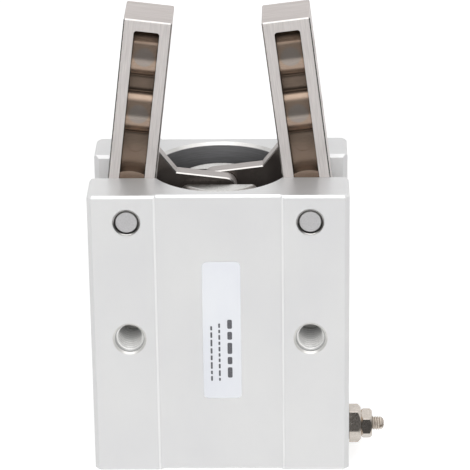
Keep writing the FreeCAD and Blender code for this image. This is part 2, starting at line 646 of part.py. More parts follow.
def make_finger(arm_side):
    """Left finger; its arm lies on the arm_side (-1 front, +1 back) of the middle plane."""
    half = FINGER_HALF_WIDTH
    outline = path((-half, 0), ((0, -half), (half, 0)), (half, FINGER_TOP), (-half, FINGER_TOP))
    shape = slab(outline, -FINGER_HALF_DEPTH, FINGER_HALF_DEPTH)
    sharp = [e for e in shape.Edges if e.Length > 1 and not is_tangent_seam(e)]
    shape = shape.makeChamfer(FINGER_EDGE, sharp)

    gusset_foot = half + GUSSET
    arm = rounded_path([
        (0, ARM_UNDERSIDE, 0), (ARM_TIP, ARM_UNDERSIDE, ARM_TOE_ROUND),
        (ARM_TIP, ARM_TOP, ARM_TIP_ROUND), (gusset_foot, ARM_TOP, 0),
        (half, ARM_TOP + GUSSET, 0), (0, ARM_TOP + GUSSET, 0)])
    near, far = sorted((arm_side * ARM_NEAR, arm_side * ARM_FAR))
    arm = slab(arm, near, far)
    outline_edges = [e for e in arm.Edges if e.BoundBox.YLength < 0.01]
    shape = shape.fuse(arm.makeChamfer(ARM_EDGE, outline_edges))

    tool = make_window()
    cuts = [tool, tool.mirror(ORIGIN, Y_AXIS)]
    for face in (-1, 1):
        low, high = sorted((face * PIVOT_BOSS_FACE, face * (FINGER_HALF_DEPTH + 1)))
        cuts.append(block((-WINDOW_HALF_WIDTH, WINDOW_HALF_WIDTH), (low, high),
                          (-half - 1, PIVOT_BOSS_RADIUS)))
        dimple = V(0, face * (WINDOW_FLOOR - FLOOR_DIMPLE_DEPTH), FLOOR_DIMPLE_Z)
        cuts.append(bar(FLOOR_DIMPLE_RADIUS, dimple, V(0, face * (FINGER_HALF_DEPTH + 1), FLOOR_DIMPLE_Z)))
    for z in FINGER_HOLES:
        cuts.append(bar(M5_RADIUS, V(-half - 1, 0, z), V(half + 1, 0, z)))
        for side in (-1, 1):
            mouth = V(side * half, 0, z)
            cuts.append(taper(M5_RADIUS + 0.3, M5_RADIUS, mouth, mouth - V(side * 0.3, 0, 0)))
    cuts.append(bar(FINGER_BORE_RADIUS, V(0, -FINGER_HALF_DEPTH - 1, 0), V(0, FINGER_HALF_DEPTH + 1, 0)))
    shape = shape.cut(cuts).rotated(ORIGIN, Y_AXIS, LEAN)
    shape = shape.cut(make_fork_slot()).removeSplitter()
    return shape.translated(V(-PIVOT_X, 0, PIVOT_Z))


def is_tangent_seam(edge):
    """True for the lines along Y where a finger's sides run into its round bottom."""
    along_y = abs(edge.tangentAt(edge.FirstParameter).y) > 0.9
    return along_y and abs(edge.CenterOfMass.z) < 0.01


# ---- needle ----
def make_needle_screw():
    """M3 needle with a tapered tip, an O-ring groove and a slotted end."""
    low, high = NEEDLE_GROOVE
    collar = low - NEEDLE_COLLAR
    neck = NEEDLE_NECK_RADIUS
    profile = [
        (0, NEEDLE_TIP), (NEEDLE_TIP_RADIUS, NEEDLE_TIP), (neck, NEEDLE_TIP + NEEDLE_TAPER),
        (neck, collar - 0.3), (STEM_RADIUS, collar), (STEM_RADIUS, low), (neck, low), (neck, high),
        (STEM_RADIUS, high), (STEM_RADIUS, STEM_END - 0.5), (STEM_RADIUS - 0.45, STEM_END),
        (0, STEM_END),
    ]
    stem = turned(profile).rotated(ORIGIN, Y_AXIS, 90)
    reach = STEM_RADIUS + 1
    driver_slot = block((STEM_END - DRIVER_SLOT_DEPTH, STEM_END + 1), (-reach, reach),
                        (-DRIVER_SLOT_HALF, DRIVER_SLOT_HALF))
    return stem.cut(driver_slot).translated(V(0, NEEDLE_Y, NEEDLE_Z))


def make_needle_oring():
    section = NEEDLE_ORING_RADIUS
    middle = V(sum(NEEDLE_GROOVE) / 2, NEEDLE_Y, NEEDLE_Z)
    return Part.makeTorus(NEEDLE_NECK_RADIUS + section + 0.03, section, middle, X_AXIS)


def build():
    ring_reach = RING_GROOVE_DEPTH - RING_SIDE_GAP
    cover_ring = retaining_ring(WELL_RADIUS + ring_reach, COVER_TOP, 180)
    cap_ring = retaining_ring(CAP_SEAT_RADIUS + ring_reach, CAP_BOTTOM - RING_THICKNESS, 0)
    return {
        "body": make_body(),
        "pivot_pin_left": make_pivot_pin(-PIVOT_X),
        "pivot_pin_right": make_pivot_pin(PIVOT_X),
        "front_cover": make_front_cover(),
        "front_cover_oring": o_ring(COVER_ORING_GROOVE_RADIUS, COVER_ORING_GROOVE),
        "rod_seal": make_rod_seal(),
        "front_cover_clip": cover_ring,
        "upper_bumper": make_upper_bumper(),
        "end_cap": make_end_cap(),
        "end_cap_oring": o_ring(CAP_ORING_GROOVE_RADIUS, CAP_ORING_GROOVE),
        "end_cap_clip": cap_ring,
        "lower_bumper": make_bumper(LOWER_BUMPER[0], LOWER_BUMPER[1], CAP_TOP),
        "needle_seat": make_needle_seat(),
        "needle_seat_washer": make_needle_washer(),
        "needle_lock_nut": make_needle_nut(),
        "rating_label": make_label(),
        "piston": make_piston(),
        "piston_seal": make_piston_seal(),
        "piston_magnet": ring(HUB_RADIUS, PISTON_RADIUS - 0.4, KEEPER_TOP, MAGNET_TOP),
        "magnet_keeper": make_magnet_keeper(),
        "piston_screw": make_piston_screw(),
        "piston_rod": make_piston_rod(),
        "joint_block": make_joint_block(),
        "joint_pin": make_joint_pin(),
        "left_finger": make_finger(-1),
        "right_finger": make_finger(1).mirror(ORIGIN, X_AXIS),
        "needle_screw": make_needle_screw(),
        "needle_oring": make_needle_oring(),
    }


os.makedirs("parts", exist_ok=True)
for node, shape in build().items():
    solids = shape.Solids
    if not shape.isValid() or len(solids) != 1:
        print("check", node, "valid:", shape.isValid(), "solids:", len(solids))
    shape.exportStep("parts/" + node + ".step")
    print(node, round(shape.Volume, 1))
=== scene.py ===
import json
import math
import random

import bmesh
import bpy
from mathutils import Matrix, Vector


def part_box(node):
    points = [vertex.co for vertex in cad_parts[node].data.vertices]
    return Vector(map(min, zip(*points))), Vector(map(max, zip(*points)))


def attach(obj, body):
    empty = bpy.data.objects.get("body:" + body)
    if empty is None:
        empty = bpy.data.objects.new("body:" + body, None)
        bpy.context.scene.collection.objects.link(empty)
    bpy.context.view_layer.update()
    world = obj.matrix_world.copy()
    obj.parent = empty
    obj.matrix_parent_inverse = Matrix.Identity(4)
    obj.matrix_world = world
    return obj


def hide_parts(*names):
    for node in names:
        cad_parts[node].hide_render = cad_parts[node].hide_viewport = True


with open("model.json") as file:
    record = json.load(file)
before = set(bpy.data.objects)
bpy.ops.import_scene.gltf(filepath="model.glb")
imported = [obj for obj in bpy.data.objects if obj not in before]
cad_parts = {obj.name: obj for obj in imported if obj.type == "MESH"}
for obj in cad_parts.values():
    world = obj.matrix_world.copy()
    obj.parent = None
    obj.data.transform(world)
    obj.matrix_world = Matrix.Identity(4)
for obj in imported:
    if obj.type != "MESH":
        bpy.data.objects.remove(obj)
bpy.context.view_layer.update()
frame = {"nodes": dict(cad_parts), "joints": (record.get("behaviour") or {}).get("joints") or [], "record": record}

# Looks of an angular air gripper. Lengths are in metres; MM turns millimetres into metres.
# X runs across the fingers, -Y is the labelled front and Z points up.

MM = 0.001
NODES = frame["nodes"]
JOINTS = {joint["name"]: joint for joint in frame["joints"]}
MOUNTS = {mount["name"]: mount for mount in frame["record"]["mounts"]}

BODY_LOW, BODY_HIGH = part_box("body")
LABEL_LOW, LABEL_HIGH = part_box("rating_label")
NEEDLE_LOW, NEEDLE_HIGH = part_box("needle_screw")
LEFT_PIVOT = Vector(JOINTS["left_finger_swing"]["pos_m"])
RIGHT_PIVOT = Vector(JOINTS["right_finger_swing"]["pos_m"])
FINGER_HALF_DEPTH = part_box("left_finger")[1].y
LEAN = math.radians(7.0)
BOLT_X, _, BOLT_Z = MOUNTS["front_bolt_right"]["pos_m"]

WELL_RADIUS = 13.65 * MM
WELL_CHAMFER = 0.65 * MM
BOLT_RIM_RADIUS = 3.45 * MM
PIN_RIM_RADIUS = 2.8 * MM
PIN_FACE_RADIUS = 2.12 * MM
BAND_STEP = (12.55 * MM, 12.85 * MM)            # the slopes beside the front and back bands lie here
FINGER_HALF_WIDTH = 4.8 * MM
FINGER_TIP = 38.6 * MM
POCKET_HALF_WIDTH = 2.55 * MM
POCKET_TOP = 36.3 * MM
FINGER_HOLE_LEVELS = (18.6 * MM, 30.6 * MM)     # along a finger, from its pivot
BOSS_FOOT = 4.4 * MM                            # half the length of the bosses round those holes
# a threaded lining's start below the hole's mouth, its length and its pitch
BASE_THREAD = (0.42 * MM, 8.2 * MM, 1.0 * MM)
BOLT_THREAD = (0.42 * MM, 11.2 * MM, 1.0 * MM)
PORT_THREAD = (0.32 * MM, 4.2 * MM, 0.8 * MM)
FINGER_THREAD = (0.35 * MM, 8.9 * MM, 0.8 * MM)
NEEDLE_PITCH = 0.5 * MM


# ---- camera, light and floor ----
def add_camera():
    """Long lens, 22 degrees down on the front, a little right of the middle."""
    data = bpy.data.cameras.new("camera")
    data.lens = 209.0
    data.sensor_width = 36.0
    data.clip_end = 10.0
    camera = bpy.data.objects.new("camera", data)
    bpy.context.scene.collection.objects.link(camera)
    tilt = Matrix.Rotation(math.radians(90 - 22.233), 4, "X")
    heading = Matrix.Rotation(math.radians(1.372), 4, "Z")
    roll = Matrix.Rotation(math.radians(-0.762), 4, "Z")
    place = Matrix.Translation(Vector((15.27, -516.64, 256.63)) * MM)
    camera.matrix_world = place @ heading @ tilt @ roll
    bpy.context.scene.camera = camera


def add_area(name, place, target, width, height, power):
    """Softbox for the matt part of every finish; reflections see the world instead."""
    data = bpy.data.lights.new(name, "AREA")
    data.shape = "RECTANGLE"
    data.size = width
    data.size_y = height
    data.energy = power
    light = bpy.data.objects.new(name, data)
    bpy.context.scene.collection.objects.link(light)
    light.location = place
    light.rotation_euler = (Vector(target) - Vector(place)).to_track_quat("-Z", "Y").to_euler()
    light.visible_glossy = False


def add_world():
    """Studio seen in reflections: white all round, dark round the camera, brightest overhead."""
    world = bpy.data.worlds.new("studio")
    bpy.context.scene.world = world
    world.use_nodes = True
    graph = Graph(world.node_tree)
    _, y, z = graph.split(graph.coordinates("Generated"))
    in_front = graph.below(y, 0.15, 0.15)
    dark = graph.product(graph.step(z, -0.47, 0.04), graph.below(z, 0.74, 0.06), in_front, 0.9)
    overhead = graph.product(graph.step(z, 0.8, 0.06), graph.below(y, 0.2, 0.06), 0.9)
    level = graph.add(graph.product(graph.invert(dark), 0.88), overhead)
    for_matt = graph.nodes.new("ShaderNodeLightPath").outputs["Is Diffuse Ray"]
    level = graph.product(level, graph.scaled(for_matt, 1.0, 0.45))
    graph.link(level, graph.nodes["Background"].inputs["Strength"])
    graph.nodes["Background"].inputs["Color"].default_value = (1, 1, 1, 1)


def add_plane(name, low, high, height, material):
    """Flat sheet at one height, part of the studio."""
    corners = [(low[0], low[1]), (high[0], low[1]), (high[0], high[1]), (low[0], high[1])]
    mesh = bpy.data.meshes.new(name)
    mesh.from_pydata([(x, y, height) for x, y in corners], [], [(0, 1, 2, 3)])
    mesh.materials.append(material)
    sheet = bpy.data.objects.new(name, mesh)
    bpy.context.scene.collection.objects.link(sheet)
    return sheet


def add_studio():
    floor = plain_material("floor_paper", (0.93, 0.93, 0.93), 0.0, 0.9)
    shader = floor.node_tree.nodes["Principled BSDF"]
    shader.inputs["Emission Color"].default_value = (1, 1, 1, 1)
    shader.inputs["Emission Strength"].default_value = 0.35
    sheet = add_plane("floor", (-3, -3), (3, 3), BODY_LOW.z - 0.02 * MM, floor)
    sheet.visible_glossy = False

    add_area("front_softbox", (0, -0.9, 0.42), (0, 0, 0.04), 1.2, 0.5, 12.5)
    add_area("left_softbox", (-0.8, -0.35, 0.45), (0, 0, 0.04), 0.5, 0.5, 0.6)
    add_area("right_softbox", (0.8, -0.35, 0.45), (0, 0, 0.04), 0.5, 0.5, 1.0)
    add_area("back_softbox", (0, 0.6, 0.4), (0, 0, 0.05), 0.5, 0.4, 0.6)


# ---- materials ----
def plain_material(name, colour, metallic, roughness):
    material = bpy.data.materials.new(name)
    material.use_nodes = True
    shader = material.node_tree.nodes["Principled BSDF"]
    shader.inputs["Base Color"].default_value = (*colour, 1)
    shader.inputs["Metallic"].default_value = metallic
    shader.inputs["Roughness"].default_value = roughness
    return material


class Graph:
    """Short ways to build a node tree."""

    def __init__(self, tree):
        self.nodes = tree.nodes
        self.links = tree.links

    def link(self, source, target):
        self.links.new(source, target)

    def coordinates(self, kind):
        return self.nodes.new("ShaderNodeTexCoord").outputs[kind]

    def math(self, operation, first, second=0.0):
        node = self.nodes.new("ShaderNodeMath")
        node.operation = operation
        for socket, value in zip(node.inputs, (first, second)):
            if isinstance(value, (int, float)):
                socket.default_value = value
            else:
                self.link(value, socket)
        return node.outputs[0]

    def invert(self, value):
        return self.math("SUBTRACT", 1.0, value)

    def product(self, *values):
        result = values[0]
        for value in values[1:]:
            result = self.math("MULTIPLY", result, value)
        return result

    def add(self, *values):
        result = values[0]
        for value in values[1:]:
            result = self.math("ADD", result, value)
        return result

    def largest(self, *values):
        result = values[0]
        for value in values[1:]:
            result = self.math("MAXIMUM", result, value)
        return result

    def distance(self, first, second, centre=(0.0, 0.0)):
        """Distance from a centre, from two coordinates."""
        parts = [self.math("SUBTRACT", value, middle) for value, middle in zip((first, second), centre)]
        return self.math("SQRT", self.add(*[self.product(part, part) for part in parts]))

    def split(self, vector):
        node = self.nodes.new("ShaderNodeSeparateXYZ")
        self.link(vector, node.inputs[0])
        return node.outputs

    def join(self, *values):
        node = self.nodes.new("ShaderNodeCombineXYZ")
        for socket, value in zip(node.inputs, values):
            self.link(value, socket)
        return node.outputs[0]

    def noise(self, size, detail, place):
        """Noise whose blots are size (x, y, z) big, in metres."""
        mapping = self.nodes.new("ShaderNodeMapping")
        mapping.inputs["Scale"].default_value = [1 / s for s in size]
        self.link(place, mapping.inputs["Vector"])
        node = self.nodes.new("ShaderNodeTexNoise")
        node.inputs["Scale"].default_value = 1.0
        node.inputs["Detail"].default_value = detail
        self.link(mapping.outputs[0], node.inputs["Vector"])
        return node.outputs["Fac"]

    def ramp(self, value, stops):
        """Colour ramp through (position, colour) stops."""
        node = self.nodes.new("ShaderNodeValToRGB")
        elements = node.color_ramp.elements
        while len(elements) < len(stops):
            elements.new(0.5)
        for element, (position, colour) in zip(elements, stops):
            element.position = position
            element.color = (*colour, 1)
        self.link(value, node.inputs[0])
        return node.outputs["Color"]

    def blend(self, factor, first, second):
        """First colour where the factor is 0, second where it is 1."""
        node = self.nodes.new("ShaderNodeMix")
        node.data_type = "RGBA"
        self.link(factor, node.inputs["Factor"])
        for socket, value in zip((node.inputs[6], node.inputs[7]), (first, second)):
            if isinstance(value, tuple):
                socket.default_value = (*value, 1)
            else:
                self.link(value, socket)
        return node.outputs[2]

    def scaled(self, value, low, high):
        """A 0 to 1 value stretched to low..high."""
        node = self.nodes.new("ShaderNodeMapRange")
        node.inputs["To Min"].default_value = low
        node.inputs["To Max"].default_value = high
        self.link(value, node.inputs["Value"])
        return node.outputs[0]

    def step(self, value, edge, soft):
        """0 below the edge, 1 above it, blurred over soft."""
        node = self.nodes.new("ShaderNodeMapRange")
        node.interpolation_type = "SMOOTHSTEP"
        node.inputs["From Min"].default_value = edge - soft
        node.inputs["From Max"].default_value = edge + soft
        self.link(value, node.inputs["Value"])
        return node.outputs[0]

    def below(self, value, edge, soft):
        """1 below the edge, 0 above it, blurred over soft."""
        return self.invert(self.step(value, edge, soft))


class Surface(Graph):
    """A Principled material, textured in its piece's own coordinates."""

    def __init__(self, name, colour, metallic, roughness):
        self.material = plain_material(name, colour, metallic, roughness)
        super().__init__(self.material.node_tree)
        self.shader = self.nodes["Principled BSDF"]
        self.place = self.coordinates("Object")
        self.bump = None

    def grain(self, size, detail=3.0, place=None):
        return self.noise(size, detail, place or self.place)

    def raise_by(self, height, depth):
        """Adds a bump from a 0 to 1 height, depth metres deep."""
        node = self.nodes.new("ShaderNodeBump")
        node.inputs["Distance"].default_value = depth
        self.link(height, node.inputs["Height"])
        if self.bump:
            self.link(self.bump, node.inputs["Normal"])
        self.bump = node.outputs[0]
        self.link(self.bump, self.shader.inputs["Normal"])

    def set(self, socket, value):
        self.link(value, self.shader.inputs[socket])


def anodised_body():
    """Clear anodised aluminium; the turned metal in the well painted darker as shade, bare cut metal round the
    holes.
    """
    s = Surface("anodised_aluminium", (0.8, 0.8, 0.8), 0.6, 0.4)
    x, y, z = s.split(s.place)
    side = s.math("ABSOLUTE", x)
    soft = 0.04 * MM
    radius = s.distance(x, y)
    well = s.below(radius, WELL_RADIUS + 0.2 * MM, 0.15 * MM)
    bolt_rim = s.below(s.distance(side, z, (BOLT_X, BOLT_Z)), BOLT_RIM_RADIUS, soft)
    pin_rim = s.below(s.distance(side, z, (RIGHT_PIVOT.x, RIGHT_PIVOT.z)), PIN_RIM_RADIUS, soft)
    mouth_rim = s.product(s.step(radius, WELL_RADIUS + 0.08 * MM, soft),
                          s.below(radius, WELL_RADIUS + WELL_CHAMFER + 0.01 * MM, soft),
                          s.step(z, BODY_HIGH.z - WELL_CHAMFER + 0.03 * MM, soft))
    bare = s.largest(bolt_rim, pin_rim, mouth_rim)
    outside = s.step(s.math("ABSOLUTE", y), BODY_HIGH.y - 0.9 * MM, soft)
    # painted highlight: the slopes beside the front and back bands are coloured lighter and made less metallic
    slope_highlight = s.product(s.step(side, BAND_STEP[0], soft), s.below(side, BAND_STEP[1], soft), outside)

    cloud = s.grain((14 * MM, 14 * MM, 22 * MM), 4.0)
    fine = s.grain((0.35 * MM, 0.35 * MM, 3.5 * MM))
    speck = s.grain((0.12 * MM, 0.12 * MM, 0.12 * MM), 2.0)
    turning = s.grain((4 * MM, 4 * MM, 0.25 * MM))
    outer = s.ramp(cloud, [(0.3, (0.775, 0.775, 0.782)), (0.7, (0.815, 0.815, 0.812))])
    outer = s.blend(slope_highlight, outer, (0.85, 0.85, 0.85))
    # painted shade: the well's turned metal is coloured dark for the shade deep in the bore
    turned = s.ramp(turning, [(0.3, (0.20, 0.20, 0.205)), (0.7, (0.25, 0.25, 0.26))])
    cut = s.ramp(speck, [(0.3, (0.72, 0.71, 0.69)), (0.7, (0.80, 0.79, 0.77))])
    s.set("Base Color", s.blend(bare, s.blend(well, outer, turned), cut))
    s.set("Metallic", s.largest(pin_rim, mouth_rim, s.scaled(slope_highlight, 0.6, 0.4)))
    s.set("Roughness", s.math("SUBTRACT", s.scaled(fine, 0.34, 0.46), s.product(bare, 0.1)))
    s.raise_by(speck, 0.006 * MM)
    s.raise_by(fine, 0.004 * MM)
    return s.material


def finger_steel(name, pivot, side):
    """Ground faces with bright edges; brown cast metal in the pockets, painted darker as shade in their creases
    and under their tops; cast metal on the arm's sides, painted near-black as shade and as the reflection of the
    dark well.
    """
    s = Surface(name, (0.5, 0.47, 0.44), 1.0, 0.35)
    x, y, z = s.split(s.place)
    across = s.product(s.math("SUBTRACT", x, pivot.x), -side)
    height = s.math("SUBTRACT", z, pivot.z)
    inward = s.math("SUBTRACT", s.product(across, math.cos(LEAN)), s.product(height, math.sin(LEAN)))
    along = s.add(s.product(across, math.sin(LEAN)), s.product(height, math.cos(LEAN)))
    leaned = s.join(inward, y, along)
    depth = s.math("ABSOLUTE", y)
    offset = s.math("ABSOLUTE", inward)
    facing = s.math("ABSOLUTE", s.split(s.coordinates("Normal"))["Y"])
    soft = 0.03 * MM

    faces = s.step(depth, FINGER_HALF_DEPTH - 0.12 * MM, soft)
    sides = s.step(offset, FINGER_HALF_WIDTH - 0.2 * MM, soft)
    tip = s.step(along, FINGER_TIP - 0.15 * MM, soft)
    on_arm = s.step(inward, FINGER_HALF_WIDTH + 0.15 * MM, soft)
    arm_side = s.product(on_arm, s.step(facing, 0.87, 0.05))
    ground = s.product(s.largest(faces, sides, tip), s.invert(arm_side))
    slanted = s.product(s.step(facing, 0.45, 0.1), s.below(facing, 0.87, 0.05))
    outermost = s.step(depth, FINGER_HALF_DEPTH - 0.3 * MM, soft)
    edge = s.product(slanted, s.largest(on_arm, outermost))

    # painted shade: darker along the pocket's side walls, under its top and round the feet of the bosses
    crease_shades = [s.step(offset, POCKET_HALF_WIDTH - 0.13 * MM, 0.08 * MM),
               s.step(along, POCKET_TOP - 0.8 * MM, 0.5 * MM)]
    discs = []
    for level in FINGER_HOLE_LEVELS:
        reach = s.math("ABSOLUTE", s.math("SUBTRACT", along, level))
        foot = s.math("ABSOLUTE", s.math("SUBTRACT", reach, BOSS_FOOT))
        crease_shades.append(s.below(foot, 0.5 * MM, 0.35 * MM))
        discs.append(s.below(s.distance(inward, along, (0.0, level)), 1.95 * MM, 0.15 * MM))
    disc = s.largest(*discs)
    in_pocket = s.product(s.below(offset, POCKET_HALF_WIDTH + 0.25 * MM, soft),
                          s.below(depth, FINGER_HALF_DEPTH - 0.35 * MM, soft))
    crease_shade = s.product(s.largest(*crease_shades), in_pocket)

    grind = s.grain((0.22 * MM, 0.22 * MM, 5 * MM), 3.0, leaned)
    cross = s.grain((7 * MM, 0.25 * MM, 7 * MM), 3.0, leaned)
    cloud = s.grain((5 * MM, 5 * MM, 7 * MM), 3.0, leaned)
    cast = s.grain((0.5 * MM, 0.5 * MM, 0.5 * MM), 3.0, leaned)
    front_lines = s.ramp(grind, [(0.3, (0.60, 0.565, 0.55)), (0.7, (0.73, 0.69, 0.67))])
    top_lines = s.ramp(cross, [(0.3, (0.53, 0.48, 0.46)), (0.7, (0.69, 0.64, 0.62))])
    bronze = s.ramp(cloud, [(0.3, (0.37, 0.27, 0.205)), (0.7, (0.45, 0.345, 0.27))])
    bronze = s.blend(disc, bronze, (0.37, 0.32, 0.285))
    # the near-black crease colour is painted shade
    bronze = s.blend(crease_shade, bronze, (0.10, 0.07, 0.05))
    # painted shade and painted reflection: the arm's cast sides are coloured near-black for the dark well they
    # face
    dark = s.ramp(cloud, [(0.3, (0.13, 0.11, 0.10)), (0.7, (0.19, 0.165, 0.15))])
    unground_and_painted_shade = s.blend(arm_side, bronze, dark)
    smooth = s.blend(on_arm, s.blend(tip, front_lines, top_lines), (0.46, 0.425, 0.41))
    s.set("Base Color", s.blend(edge, s.blend(ground, unground_and_painted_shade, smooth), (0.66, 0.64, 0.62)))
    s.set("Metallic", s.largest(s.scaled(ground, 0.85, 0.6), edge))
    rough = s.add(s.scaled(ground, 0.24, 0.40), s.scaled(cast, -0.03, 0.03))
    s.set("Roughness", s.math("SUBTRACT", rough, s.product(edge, 0.16)))
    s.raise_by(cast, 0.0008 * MM)
    s.raise_by(grind, 0.002 * MM)
    return s.material


def dowel_steel():
    """End of a pivot pin: ground face with faint turning rings and an eased edge painted dark as the shade in the
    gap round the pin.
    """
    s = Surface("dowel_steel", (0.55, 0.55, 0.55), 0.5, 0.4)
    x, _, z = s.split(s.place)
    radius = s.distance(s.math("ABSOLUTE", x), z, (RIGHT_PIVOT.x, RIGHT_PIVOT.z))
    # painted shade: the eased edge is coloured dark for the shaded gap round the pin
    rim = s.step(radius, PIN_FACE_RADIUS, 0.04 * MM)
    ripple = s.scaled(s.math("SINE", s.product(radius, 2 * math.pi / (0.45 * MM))), 0.46, 0.54)
    speck = s.grain((0.3 * MM, 0.3 * MM, 0.3 * MM))
    mixed = s.product(s.add(ripple, speck), 0.5)
    face = s.ramp(mixed, [(0.35, (0.42, 0.415, 0.42)), (0.65, (0.53, 0.525, 0.53))])
    s.set("Base Color", s.blend(rim, face, (0.22, 0.215, 0.21)))
    s.set("Metallic", s.scaled(rim, 0.5, 0.9))
    s.set("Roughness", s.scaled(speck, 0.36, 0.48))
    s.raise_by(speck, 0.004 * MM)
    return s.material


def machined_metal(name, low, high, metallic, roughness, grain):
    """Turned or ground metal: a colour between low and high along grain-shaped noise."""
    s = Surface(name, low, metallic, roughness)
    lines = s.grain(grain)
    cloud = s.grain((3 * MM, 3 * MM, 3 * MM))
    mixed = s.math("MULTIPLY", s.math("ADD", lines, cloud), 0.5)
    s.set("Base Color", s.ramp(mixed, [(0.35, low), (0.65, high)]))
    s.set("Roughness", s.scaled(lines, roughness - 0.06, roughness + 0.08))
    s.raise_by(lines, 0.004 * MM)
    return s.material


def cut_thread():
    """Bright cut aluminium; painted shade in the thread roots and deeper in the front and back holes."""
    s = Surface("cut_thread", (0.8, 0.8, 0.79), 0.4, 0.32)
    x, y, z = s.split(s.place)
    depth = s.math("SUBTRACT", BODY_HIGH.y, s.math("ABSOLUTE", y))
    in_bolt_hole = s.below(s.math("ABSOLUTE", x), 22 * MM, 0.5 * MM)
    # painted shade: darker deeper in the front and back bolt holes
    deep_shade = s.product(s.step(depth, 5.5 * MM, 1.5 * MM), s.step(z, 20 * MM, MM), in_bolt_hole)
    speck = s.grain((0.2 * MM, 0.2 * MM, 0.2 * MM))
    cut = s.ramp(speck, [(0.35, (0.78, 0.775, 0.76)), (0.65, (0.90, 0.895, 0.88))])
    radius = s.distance(s.math("ABSOLUTE", x), z, (BOLT_X, BOLT_Z))
    # painted shade in the thread roots of the bolt holes
    root = s.product(s.step(radius, 2.75 * MM, 0.12 * MM), in_bolt_hole)
    shaded = s.blend(root, s.blend(deep_shade, cut, (0.55, 0.55, 0.54)), (0.46, 0.46, 0.455))
    s.set("Base Color", shaded)
    s.set("Roughness", s.scaled(speck, 0.28, 0.40))
    s.raise_by(speck, 0.004 * MM)
    return s.material


def threaded_nickel(axis_y, axis_z):
    """Nickel on the needle's thread, with painted shade in its roots."""
    s = Surface("threaded_nickel", (0.7, 0.63, 0.57), 0.7, 0.4)
    _, y, z = s.split(s.place)
    # painted shade in the thread roots
    root = s.below(s.distance(y, z, (axis_y, axis_z)), 1.27 * MM, 0.06 * MM)
    speck = s.grain((0.3 * MM, 0.3 * MM, 0.3 * MM))
    crest = s.ramp(speck, [(0.35, (0.76, 0.69, 0.62)), (0.65, (0.90, 0.84, 0.77))])
    s.set("Base Color", s.blend(root, crest, (0.50, 0.44, 0.38)))
    s.set("Roughness", s.scaled(speck, 0.36, 0.46))
    s.raise_by(speck, 0.004 * MM)
    return s.material


def moulded(name, low, high, roughness):
    """Rubber or plastic with a fine moulded grain."""
    s = Surface(name, low, 0.0, roughness)
    speck = s.grain((0.2 * MM, 0.2 * MM, 0.2 * MM))
    s.set("Base Color", s.ramp(speck, [(0.35, low), (0.65, high)]))
    s.set("Roughness", s.scaled(speck, roughness - 0.08, roughness + 0.08))
    s.raise_by(speck, 0.01 * MM)
    return s.material


def label_film():
    s = Surface("label_film", (0.46, 0.47, 0.50), 0.0, 0.35)
    cloud = s.grain((6 * MM, 6 * MM, 9 * MM))
    s.set("Base Color", s.ramp(cloud, [(0.3, (0.455, 0.465, 0.495)), (0.7, (0.48, 0.49, 0.51))]))
    s.set("Roughness", s.scaled(cloud, 0.3, 0.42))
    s.raise_by(s.grain((0.4 * MM, 0.4 * MM, 0.4 * MM), 2.0), 0.003 * MM)
    return s.material


def dress_nodes():
    """Gives every CAD node its finish."""
    steel_grain = (0.15 * MM, 0.15 * MM, 2 * MM)
    end_grain = (0.12 * MM, 0.12 * MM, 0.12 * MM)
    cover = machined_metal("turned_aluminium", (0.42, 0.42, 0.43), (0.56, 0.56, 0.57), 1.0, 0.32,
                           steel_grain)
    spring = machined_metal("phosphated_steel", (0.07, 0.065, 0.06), (0.13, 0.12, 0.115), 0.8, 0.45,
                            end_grain)
    joint = machined_metal("joint_steel", (0.70, 0.69, 0.67), (0.84, 0.83, 0.81), 1.0, 0.28,
                           (1 * MM, 0.15 * MM, 1 * MM))
    chrome = machined_metal("rod_chrome", (0.70, 0.70, 0.71), (0.78, 0.78, 0.79), 1.0, 0.14, steel_grain)
    hard = machined_metal("hard_steel", (0.40, 0.39, 0.385), (0.50, 0.49, 0.48), 0.9, 0.42, end_grain)
    magnet = moulded("bonded_magnet", (0.03, 0.028, 0.028), (0.06, 0.055, 0.055), 0.6)
    rubber = moulded("nitrile_rubber", (0.012, 0.012, 0.013), (0.03, 0.03, 0.03), 0.55)
    washer = moulded("sealing_washer", (0.36, 0.35, 0.34), (0.46, 0.45, 0.44), 0.5)
    pin = dowel_steel()
    finishes = {
        "body": anodised_body(),
        "left_finger": finger_steel("finger_steel_left", LEFT_PIVOT, -1),
        "right_finger": finger_steel("finger_steel_right", RIGHT_PIVOT, 1),
        "pivot_pin_left": pin, "pivot_pin_right": pin, "joint_pin": hard, "piston_screw": hard,
        "front_cover": cover, "end_cap": cover, "piston": cover, "magnet_keeper": cover,
        "front_cover_clip": spring, "end_cap_clip": spring,
        "joint_block": joint, "piston_rod": chrome, "piston_magnet": magnet,
        "needle_seat": NICKEL, "needle_lock_nut": NICKEL, "needle_seat_washer": washer,
    }
    for name, node in NODES.items():
        material = finishes.get(name, rubber)
        if not node.data.materials:
            node.data.materials.append(material)
        for slot in node.material_slots:
            slot.material = material


# ---- threads ----
def grid_solid(name, rings, material, body):
    """Closed mesh from rings of points; the last ring joins the first."""
    count = len(rings[0])
    points = [p for ring in rings for p in ring]
    faces = []
    for i in range(len(rings)):
        j = (i + 1) % len(rings)
        for k in range(count):
            n = (k + 1) % count
            faces.append((i * count + k, i * count + n, j * count + n, j * count + k))
    mesh = bpy.data.meshes.new(name)
    mesh.from_pydata(points, [], faces)
    mesh.materials.append(material)
    mesh.update()
    piece = bpy.data.objects.new(name, mesh)
    bpy.context.scene.collection.objects.link(piece)
    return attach(piece, body)


def thread_height(turns):
    """Height of a V thread, 0 at its root and 1 at its crest, with short flats."""
    share = turns % 1.0
    return min(1.0, max(0.0, 1.35 * abs(2 * share - 1) - 0.17))


